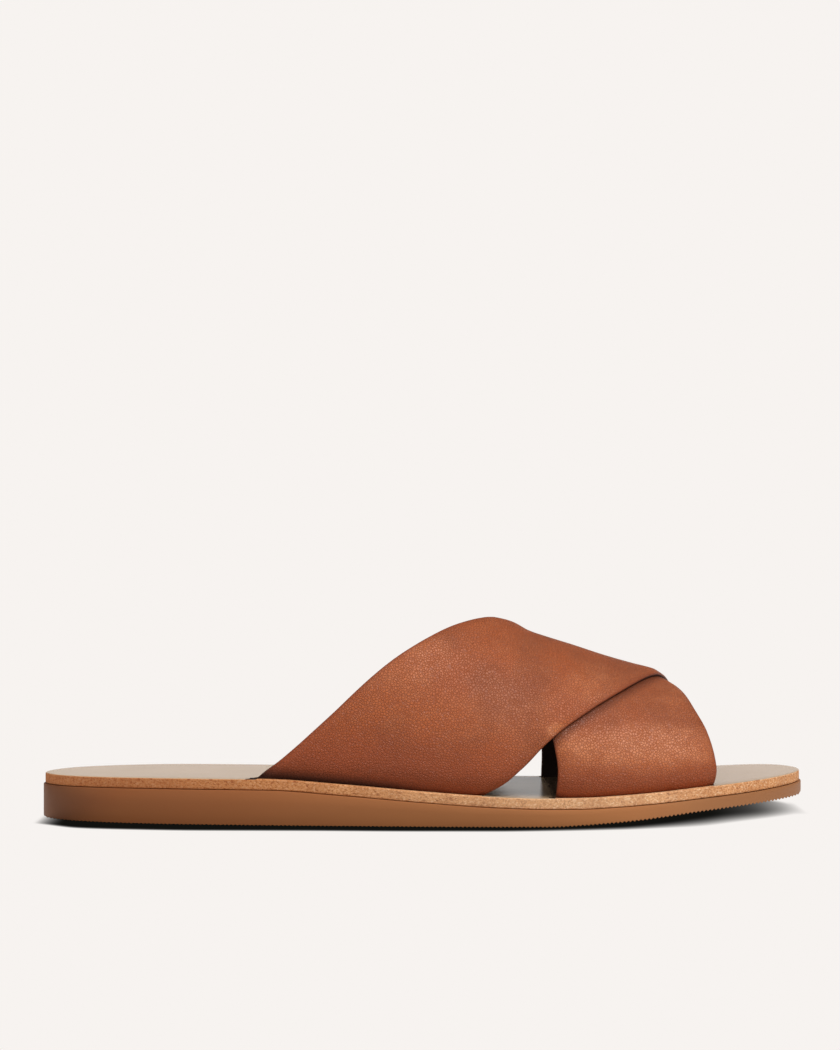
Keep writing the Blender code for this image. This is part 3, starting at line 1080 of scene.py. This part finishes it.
def layer_part(face):
    """Which finish a layer's face takes: 0 on top, 1 on the cut edge and 2 inside a slot."""
    side = "outer" if face.center.y < 0 else "inner"
    heel_distance = face.center.x + SOLE_LENGTH / 2
    from_middle = abs(face.center.y)
    inside_rim = from_middle < abs(inset_edge(side, heel_distance, RIM_LEDGE + STRAP_SLOT_INSET / 2))
    among_slots = SLOTS_REACH[0] < heel_distance < SLOTS_REACH[1]
    # Side faces inside the slots take the near black finish, as painted shade.
    if inside_rim and among_slots and abs(face.normal.z) < FACING_SIDEWAYS:
        return 2
    # The narrow strip outside each strap takes the darker, matt cut edge finish, as painted shade under the
    # strap's swell.
    beside_slot = any(span.side == side and span.rear < heel_distance < span.front for span in slot_spans)
    outside_slot = from_middle > abs(inset_edge(side, heel_distance, SLOT_NEAR))
    if face.normal.z > FACING_UP and not (beside_slot and outside_slot):
        return 0
    return 1


def dress_layer(piece, top, cut_edge, slot_wall):
    """Gives a layer its finishes: on top, on its cut edge, and painted shade inside its slots."""
    dress(piece, top, cut_edge, slot_wall)
    for face in piece.data.polygons:
        face.material_index = layer_part(face)


edge_finish = raw_edge()
slot_finish, _, slot_shader = new_finish("slot_inside", roughness=0.9, specular=0.1)
slot_shader.inputs["Base Color"].default_value = SLOT_SHADE
dress_layer(board, edge_finish, edge_finish, slot_finish)

# %% [markdown]
# ### Smooth insole leather
# The insole is a smooth taupe leather with a soft gloss. Its cut edge shows the same tan fibres as the
# board, so the faces that do not look upwards take the raw edge's finish. So does the narrow strip outside
# each strap: there its darker, matt finish is painted shade for the shade under the strap's swell. Two dark
# places are painted, because the lamps leave them pale: a small wedge behind the over strap's outer end,
# and a band under the rear of the under strap. Both stand in for the deep shade at the straps' feet, and
# the leather itself is not known to be darker there.

# %% Smooth insole leather
INSOLE_DEEP = (0.545, 0.37, 0.22, 1)
INSOLE_LIGHT = (0.595, 0.405, 0.247, 1)
INSOLE_PORE = (0.36, 0.22, 0.12, 1)
INSOLE_TOE = (0.66, 0.465, 0.315, 1)
INSOLE_WEDGE = (0.02, 0.008, 0.004, 1)
INSOLE_SHADED = (0.03, 0.017, 0.010, 1)
TOE_LIGHTENS = (85 * MM, 105 * MM)
SHADE_STARTS = (40 * MM, 43 * MM)
SHADE_ENDS = (50 * MM, 64 * MM)
WEDGE_BEHIND = 2.4 * MM
WEDGE_INSET = RIM_LEDGE + 0.9 * STRAP_SLOT_INSET
WEDGE_LENGTHS = (5 * MM, 9 * MM)
WEDGE_BREADTHS = (5 * MM, 8 * MM)
WEDGE_SLOPE = 2.3
WEDGE_EDGE = (-0.5 * MM, 1.5 * MM)

wedge_start = strap_edge["over_rear"](0.0) - WEDGE_BEHIND
wedge_tip_x = wedge_start - SOLE_LENGTH / 2
wedge_tip_y = inset_edge("outer", wedge_start, WEDGE_INSET)


def slot_wedge(x, y):
    """1 in the dark wedge behind the over strap's outer end and 0 around it."""
    onwards = x - wedge_tip_x
    inwards = y - wedge_tip_y
    wedge = (onwards * WEDGE_SLOPE - inwards).ramp(*WEDGE_EDGE)
    return wedge * (1 - onwards.ramp(*WEDGE_LENGTHS)) * (1 - inwards.ramp(*WEDGE_BREADTHS))


def insole_leather():
    """Smooth taupe leather with fine pores."""
    material, start, shader = new_finish("insole_leather", roughness=0.2, specular=0.5)
    where = in_object(start)
    tone = noise(start, where, 30 * MM, detail=3)
    pores = noise(start, where, 0.35 * MM, detail=2, rough=0.6)
    x, y, _ = split_up(start, where)
    wedge = slot_wedge(x, y)
    shaded = x.ramp(*SHADE_STARTS) * (1 - x.ramp(*SHADE_ENDS))
    base = tone.ramp(0.3, 0.7).mix(INSOLE_DEEP, INSOLE_LIGHT)
    base = (pores.ramp(0.5, 0.75) * 0.12).mix(base, INSOLE_PORE)
    # Painted light: towards the toe the insole is painted lighter.
    base = (x.ramp(*TOE_LIGHTENS) * 0.7).mix(base, INSOLE_TOE)
    base = wedge.mix(base, INSOLE_WEDGE)
    base = (shaded * 0.85).mix(base, INSOLE_SHADED)
    feed(base, shader, "Base Color")
    feed(0.17 + 0.08 * pores + 0.7 * wedge, shader, "Roughness")
    feed(bump(pores, 0.015 * MM), shader, "Normal")
    return material


dress_layer(insole, insole_leather(), edge_finish, slot_finish)

# %% [markdown]
# ### Brown rubber
# Moulded rubber takes the satin of its tool, with faint flow marks and a little dust. It is painted palest
# at the ball of the foot and darker towards the heel, as painted light and shade along the side, and darker
# still at the heel's end, where it turns away from the lamps. Towards the toe it is a little darker again.

# %% Brown rubber
RUBBER_HEEL = (0.28, 0.090, 0.028, 1)
RUBBER_BALL = (0.43, 0.168, 0.057, 1)
RUBBER_TOE = (0.305, 0.131, 0.051, 1)
RUBBER_HEEL_SHADE = (0.15, 0.055, 0.022, 1)
RUBBER_FLOW = (0.29, 0.108, 0.038, 1)
RUBBER_DUST = (0.33, 0.155, 0.08, 1)
RUBBER_LIT_TOWARDS_BALL = (-120 * MM, 70 * MM)
RUBBER_DARK_END = (-128 * MM, -96 * MM)
RUBBER_DEEPENS = (58 * MM, 100 * MM)


def brown_rubber():
    """Satin rubber with flow marks and dust."""
    material, start, shader = new_finish("brown_rubber", roughness=0.5, specular=0.2)
    where = in_object(start)
    x, _, _ = split_up(start, where)
    flow = noise(start, stretched(start, where, (0.3, 1, 1)), 12 * MM, detail=3)
    dust = noise(start, where, 0.4 * MM, detail=3, rough=0.7)
    # Painted light and shade: paler towards the ball, darker towards the heel and darkest at its end.
    base = x.ramp(*RUBBER_LIT_TOWARDS_BALL).mix(RUBBER_HEEL, RUBBER_BALL)
    base = (1 - x.ramp(*RUBBER_DARK_END)).mix(base, RUBBER_HEEL_SHADE)
    base = x.ramp(*RUBBER_DEEPENS).mix(base, RUBBER_TOE)
    base = (flow.ramp(0.3, 0.7) * 0.3).mix(base, RUBBER_FLOW)
    base = (dust.ramp(0.55, 0.8) * 0.12).mix(base, RUBBER_DUST)
    feed(base, shader, "Base Color")
    feed(0.46 + 0.12 * dust, shader, "Roughness")
    feed(bump(dust, 0.012 * MM), shader, "Normal")
    return material


dress(outsole, brown_rubber())

# %% [markdown]
# ## Floor
# The studio's floor and back wall are lit evenly until they are one pale tone, so the floor is given that
# tone as its own light. The only shadow left is the dark seam under the sole. It is painted on the floor:
# it reaches a little in front of the sole at heel and waist, and draws in and softens under the sprung toe.
# It is drawn for the view of the outer side. From behind it is too dark and too wide beside heel and toe.

# %% The painted shadow
PALE = (0.930, 0.896, 0.871, 1)
DARK = (0.006, 0.006, 0.005, 1)
ShadowStation = namedtuple("ShadowStation", "heel_distance near soft")
SHADOW_STATIONS = [ShadowStation(*row) for row in [
    (-4, -24.5, 8),
    (4, -33.3, 8),
    (16, -46.1, 7),
    (30, -50.6, 7),
    (55, -54.6, 7),
    (90, -55.6, 7),
    (126, -57.6, 7),
    (150, -57.5, 8),
    (164, -55.7, 9),
    (190, -48.1, 14),
    (204, -38.6, 22),
    (218, -24.7, 34),
    (228, -11.3, 38),
    (241, 3.0, 36),
    (252, 17.0, 36),
]]
SHADOW_FAR = 3 * MM
SHADOW_FAR_TOE = 21 * MM
# each fade runs from where there is no shade to where it is full
HEEL_FADE = (-0.3 * MM, 10 * MM)
TOE_FADE = (257 * MM, 236 * MM)
TOE_PALES = (222 * MM, 246 * MM)
TOE_PALER = 0.1
SHADOW_WIDENS = (195 * MM, 235 * MM)

shadow_near = column(SHADOW_STATIONS, "near", MM)
shadow_soft = column(SHADOW_STATIONS, "soft", MM)


def settling(value, start, end):
    """A rise from 0 to 1 that starts fast and then settles, as the edge of a soft shadow does."""
    return 1 - (1 - share_between(value, start, end)) ** 3


# How dark the painted shadow makes each point of the floor.
def painted_shadow(x, y):
    """How dark the floor is at a point, from 0 to 1."""
    heel_distance = x + SOLE_LENGTH / 2
    soft = shadow_soft(heel_distance)
    far = sole_edge("inner", min(max(heel_distance, 1 * MM), SOLE_LENGTH - 1 * MM)) + SHADOW_FAR
    far += (SHADOW_FAR_TOE - SHADOW_FAR) * smooth_between(heel_distance, *SHADOW_WIDENS)
    shade = settling(y - shadow_near(heel_distance), -soft / 2, soft / 2)
    shade *= smooth_between(far - y, -soft / 4, soft / 4)
    shade *= settling(heel_distance, *HEEL_FADE) * settling(heel_distance, *TOE_FADE)
    return shade * (1 - TOE_PALER * share_between(heel_distance, *TOE_PALES) ** 2)


print("the stain reaches", round(-shadow_near(100 * MM) / MM, 1), "mm outwards at the waist")

# %% [markdown]
# ### Floor sheet
# The painted shadow is stored in the floor's corners, so they stand close together under the shoe and ever
# further apart towards the rim, thirty metres away.

# %% Floor sheet
FLOOR_HALF = 30
FINE_HALF = (175 * MM, 105 * MM)
FLOOR_CELLS = (400, 260)
FINE_SHARE = 0.94


def stretched_out(share, fine_half):
    """Even steps over the middle of the floor, then ever longer ones out to its rim."""
    side = 2 * share - 1
    if abs(side) <= FINE_SHARE:
        return side / FINE_SHARE * fine_half
    growth = (abs(side) - FINE_SHARE) / (1 - FINE_SHARE)
    return math.copysign(fine_half * (FLOOR_HALF / fine_half) ** growth, side)


def on_floor(along, across):
    """Where a corner of the floor's grid lies."""
    return Vector((stretched_out(along, FINE_HALF[0]), stretched_out(across, FINE_HALF[1]), 0))


floor = bent_sheet("floor", *FLOOR_CELLS, on_floor)
select_only(floor)
bpy.ops.object.mode_set(mode="EDIT")
bpy.ops.mesh.select_all(action="SELECT")
bpy.ops.mesh.flip_normals()
bpy.ops.object.mode_set(mode="OBJECT")
shade = floor.data.attributes.new("shade", "FLOAT", "POINT")
shade.data.foreach_set("value", [painted_shadow(corner.co.x, corner.co.y) for corner in floor.data.vertices])
material, start, shader = new_finish("pale_floor", roughness=1.0, specular=0.0)
shader.inputs["Base Color"].default_value = (0, 0, 0, 1)
shader.inputs["Emission Strength"].default_value = 1.0
shadowed = start.node("ShaderNodeAttribute", {"attribute_name": "shade"}, output=2)
feed(shadowed.mix(PALE, DARK), shader, "Emission Color")
floor.data.materials.append(material)
print("floor's normal", floor.data.polygons[0].normal[:])

# %% [markdown]
# ## Light
# A large softbox stands in front and to the right, halfway up, and lights the swelling sides of the straps.
# A sun lamp with a broad disc does the same everywhere.

# %% Softbox
KEY_STRENGTH = 2.0
KEY_ANGLE = 40
KEY_TURN = 36
KEY_HEIGHT = 52

data = bpy.data.lights.new("softbox", "SUN")
data.energy = KEY_STRENGTH
data.angle = math.radians(KEY_ANGLE)
softbox = bpy.data.objects.new("softbox", data)
softbox.rotation_euler = (math.radians(90 - KEY_HEIGHT), 0, math.radians(KEY_TURN))
bpy.context.scene.collection.objects.link(softbox)
print("softbox", KEY_HEIGHT, "degrees up and", KEY_TURN, "degrees to the right")

# %% [markdown]
# ### The studio around
# The room is a dim white that is brighter overhead and darker behind, so that the top of the straps stays
# deep in colour. Low down the back wall is bright: the insole is seen at a flat angle and mirrors it. The
# camera itself sees the pale background instead.

# %% Studio
ROOM_LOW = 0.27
ROOM_HIGH = 1.05
ROOM_BACK = 0.10
BACK_WALL = 0.95


def grey(level):
    """A neutral colour."""
    return (level, level, level, 1)


world = bpy.data.worlds.new("studio")
world.use_nodes = True
bpy.context.scene.world = world
studio = Flow(world.node_tree)
background = world.node_tree.nodes["Background"]
looking = studio.node("ShaderNodeTexCoord", output=0)
_, away, upwards = split_up(studio, looking)
room = upwards.ramp(0.1, 0.95).mix(grey(ROOM_LOW), grey(ROOM_HIGH))
room = away.ramp(0.0, 0.6).mix(room, grey(ROOM_BACK))
wall = away.ramp(0.75, 0.95) * (1 - upwards.ramp(0.04, 0.2))
room = wall.mix(room, grey(BACK_WALL))
seen = studio.node("ShaderNodeLightPath", output=0)
feed(seen.mix(room, PALE), background, "Color")
bpy.context.scene.view_settings.view_transform = "Standard"
print("the room goes from", ROOM_LOW, "to", ROOM_HIGH, "and its back wall is", BACK_WALL)

# %% [markdown]
# ## End
